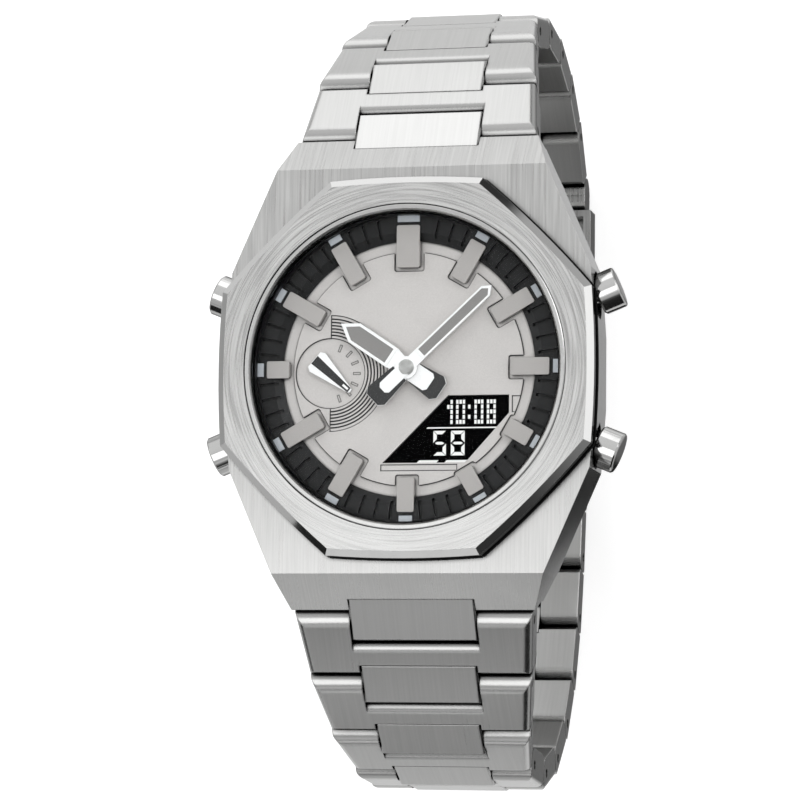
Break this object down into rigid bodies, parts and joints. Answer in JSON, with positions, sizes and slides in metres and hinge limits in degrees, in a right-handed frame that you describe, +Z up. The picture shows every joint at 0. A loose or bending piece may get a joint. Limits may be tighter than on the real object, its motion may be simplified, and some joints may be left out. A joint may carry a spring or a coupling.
{
  "type": "sports watch",
  "caption": "Steel sports watch with an octagonal bezel, hands, small digital display and four buttons, on a hinged link bracelet closed by a folding clasp.",
  "frame": {"origin": "on the clasp cover's outer face, straight below the dial centre", "axes": "+Z up out of the dial, +Y towards twelve o'clock, +X towards three o'clock"},
  "size_m": [0.0474, 0.0923, 0.0632],
  "materials": {
    "brushed_steel_1": "brushed",
    "chrome_2": "polished",
    "glass_3": "clear",
    "matte_plastic_4": "matte black",
    "matte_plastic_5": "matte",
    "painted_metal_6": "satin paint",
    "painted_metal_7": "satin",
    "gloss_plastic_8": "glossy",
    "matte_plastic_9": "matte",
    "painted_metal_10": "satin",
    "painted_metal_11": "satin"
  },
  "bodies": {
    "head": {"case_body": "brushed_steel_1", "bezel": "chrome_2", "glass_ring": "chrome_2", "crystal": "glass_3", "chapter_ring": "matte_plastic_4", "minute_chips": "matte_plastic_5", "dial_plate": "painted_metal_6", "hour_markers": "painted_metal_7", "lcd_panel": "gloss_plastic_8", "movement": "matte_plastic_9", "case_back": "brushed_steel_1", "back_screws": "brushed_steel_1", "end_blocks": "brushed_steel_1"},
    "button_2": {"button_2": "chrome_2"},
    "button_4": {"button_4": "chrome_2"},
    "button_8": {"button_8": "chrome_2"},
    "button_10": {"button_10": "chrome_2"},
    "hour": {"hour_hand": "painted_metal_10"},
    "minute": {"minute_hand": "painted_metal_10", "hand_cap": "chrome_2"},
    "day": {"day_hand": "painted_metal_11"},
    "link_12_1": {"outer_12_1": "brushed_steel_1", "centre_12_1": "brushed_steel_1"},
    "link_12_2": {"outer_12_2": "brushed_steel_1", "centre_12_2": "brushed_steel_1"},
    "link_12_3": {"outer_12_3": "brushed_steel_1", "centre_12_3": "brushed_steel_1"},
    "link_12_4": {"outer_12_4": "brushed_steel_1", "centre_12_4": "brushed_steel_1"},
    "link_12_5": {"outer_12_5": "brushed_steel_1", "centre_12_5": "brushed_steel_1"},
    "link_12_6": {"outer_12_6": "brushed_steel_1", "centre_12_6": "brushed_steel_1"},
    "link_12_7": {"outer_12_7": "brushed_steel_1", "centre_12_7": "brushed_steel_1"},
    "link_12_8": {"outer_12_8": "brushed_steel_1", "centre_12_8": "brushed_steel_1"},
    "link_6_1": {"outer_6_1": "brushed_steel_1", "centre_6_1": "brushed_steel_1"},
    "link_6_2": {"outer_6_2": "brushed_steel_1", "centre_6_2": "brushed_steel_1"},
    "link_6_3": {"outer_6_3": "brushed_steel_1", "centre_6_3": "brushed_steel_1"},
    "link_6_4": {"outer_6_4": "brushed_steel_1", "centre_6_4": "brushed_steel_1"},
    "link_6_5": {"outer_6_5": "brushed_steel_1", "centre_6_5": "brushed_steel_1"},
    "link_6_6": {"outer_6_6": "brushed_steel_1", "centre_6_6": "brushed_steel_1"},
    "link_6_7": {"outer_6_7": "brushed_steel_1", "centre_6_7": "brushed_steel_1"},
    "link_6_8": {"outer_6_8": "brushed_steel_1", "centre_6_8": "brushed_steel_1"},
    "link_6_9": {"outer_6_9": "brushed_steel_1", "centre_6_9": "brushed_steel_1"},
    "link_6_10": {"outer_6_10": "brushed_steel_1", "centre_6_10": "brushed_steel_1"},
    "clasp_lower": {"lower_blade": "brushed_steel_1"},
    "clasp_middle": {"middle_blade": "brushed_steel_1"},
    "clasp_cover": {"clasp_cover": "brushed_steel_1"}
  },
  "joints": [
    {"name": "press_2", "type": "slide", "parent": "head", "child": "button_2", "axis": [-0.9272, -0.3746, 0], "range_m": [0, 0.0007], "stiffness_N_per_m": 900, "springref_m": -0.0003},
    {"name": "press_4", "type": "slide", "parent": "head", "child": "button_4", "axis": [-0.9272, 0.3746, 0], "range_m": [0, 0.0007], "stiffness_N_per_m": 900, "springref_m": -0.0003},
    {"name": "press_8", "type": "slide", "parent": "head", "child": "button_8", "axis": [0.9272, 0.3746, 0], "range_m": [0, 0.0007], "stiffness_N_per_m": 900, "springref_m": -0.0003},
    {"name": "press_10", "type": "slide", "parent": "head", "child": "button_10", "axis": [0.9272, -0.3746, 0], "range_m": [0, 0.0007], "stiffness_N_per_m": 900, "springref_m": -0.0003},
    {"name": "minute_turn", "type": "hinge", "parent": "head", "child": "minute", "pos_m": [0, 0, 0.06098], "axis": [0, 0, -1], "continuous": true},
    {"name": "hour_turn", "type": "hinge", "parent": "head", "child": "hour", "pos_m": [0, 0, 0.06098], "axis": [0, 0, -1], "continuous": true},
    {"name": "day_turn", "type": "hinge", "parent": "head", "child": "day", "pos_m": [-0.0088, -0.0004, 0.06098], "axis": [0, 0, -1], "range_deg": [-104, 0]},
    {"name": "hinge_12_1", "type": "hinge", "parent": "head", "child": "link_12_1", "pos_m": [0, 0.0272, 0.05413], "axis": [1, 0, 0], "range_deg": [0, 3]},
    {"name": "hinge_12_2", "type": "hinge", "parent": "link_12_1", "child": "link_12_2", "pos_m": [0, 0.03391, 0.04977], "axis": [1, 0, 0], "range_deg": [0, 15.57]},
    {"name": "hinge_12_3", "type": "hinge", "parent": "link_12_2", "child": "link_12_3", "pos_m": [0, 0.0392, 0.04377], "axis": [1, 0, 0], "range_deg": [0, 15.57]},
    {"name": "hinge_12_4", "type": "hinge", "parent": "link_12_3", "child": "link_12_4", "pos_m": [0, 0.04269, 0.03658], "axis": [1, 0, 0], "range_deg": [0, 15.57]},
    {"name": "hinge_12_5", "type": "hinge", "parent": "link_12_4", "child": "link_12_5", "pos_m": [0, 0.04412, 0.0287], "axis": [1, 0, 0], "range_deg": [0, 15.57]},
    {"name": "hinge_12_6", "type": "hinge", "parent": "link_12_5", "child": "link_12_6", "pos_m": [0, 0.04338, 0.02074], "axis": [1, 0, 0], "range_deg": [0, 15.57]},
    {"name": "hinge_12_7", "type": "hinge", "parent": "link_12_6", "child": "link_12_7", "pos_m": [0, 0.04054, 0.01326], "axis": [1, 0, 0], "range_deg": [0, 15.57]},
    {"name": "hinge_12_8", "type": "hinge", "parent": "link_12_7", "child": "link_12_8", "pos_m": [0, 0.03578, 0.00683], "axis": [1, 0, 0], "range_deg": [0, 15.57]},
    {"name": "hinge_6_1", "type": "hinge", "parent": "head", "child": "link_6_1", "pos_m": [0, -0.0272, 0.05413], "axis": [-1, 0, 0], "range_deg": [0, 3]},
    {"name": "hinge_6_2", "type": "hinge", "parent": "link_6_1", "child": "link_6_2", "pos_m": [0, -0.03391, 0.04977], "axis": [-1, 0, 0], "range_deg": [0, 13.23]},
    {"name": "hinge_6_3", "type": "hinge", "parent": "link_6_2", "child": "link_6_3", "pos_m": [0, -0.03944, 0.044], "axis": [-1, 0, 0], "range_deg": [0, 17.6]},
    {"name": "hinge_6_4", "type": "hinge", "parent": "link_6_3", "child": "link_6_4", "pos_m": [0, -0.04297, 0.03682], "axis": [-1, 0, 0], "range_deg": [0, 19.53]},
    {"name": "hinge_6_5", "type": "hinge", "parent": "link_6_4", "child": "link_6_5", "pos_m": [0, -0.0439, 0.02887], "axis": [-1, 0, 0], "range_deg": [0, 19.91]},
    {"name": "hinge_6_6", "type": "hinge", "parent": "link_6_5", "child": "link_6_6", "pos_m": [0, -0.04206, 0.02108], "axis": [-1, 0, 0], "range_deg": [0, 18.97]},
    {"name": "hinge_6_7", "type": "hinge", "parent": "link_6_6", "child": "link_6_7", "pos_m": [0, -0.03779, 0.01432], "axis": [-1, 0, 0], "range_deg": [0, 16.95]},
    {"name": "hinge_6_8", "type": "hinge", "parent": "link_6_7", "child": "link_6_8", "pos_m": [0, -0.03174, 0.00909], "axis": [-1, 0, 0], "range_deg": [0, 14.12]},
    {"name": "hinge_6_9", "type": "hinge", "parent": "link_6_8", "child": "link_6_9", "pos_m": [0, -0.02459, 0.0055], "axis": [-1, 0, 0], "range_deg": [0, 10.65]},
    {"name": "hinge_6_10", "type": "hinge", "parent": "link_6_9", "child": "link_6_10", "pos_m": [0, -0.0169, 0.00329], "axis": [-1, 0, 0], "range_deg": [0, 6.02]},
    {"name": "clasp_hinge", "type": "hinge", "parent": "link_6_10", "child": "clasp_lower", "pos_m": [0, -0.00902, 0.0019], "axis": [-1, 0, 0], "range_deg": [0, 10]},
    {"name": "blade_fold", "type": "hinge", "parent": "clasp_lower", "child": "clasp_middle", "pos_m": [0, 0.02408, 0.00265], "axis": [1, 0, 0], "range_deg": [0, 100]},
    {"name": "cover_fold", "type": "hinge", "parent": "clasp_middle", "child": "clasp_cover", "pos_m": [0, -0.00202, 0.002], "axis": [-1, 0, 0], "range_deg": [0, 100]}
  ],
  "couplings": [
    {"joint": "hour_turn", "follows": "minute_turn", "ratio": 0.083333},
    {"joint": "cover_fold", "follows": "blade_fold", "ratio": 1}
  ]
}
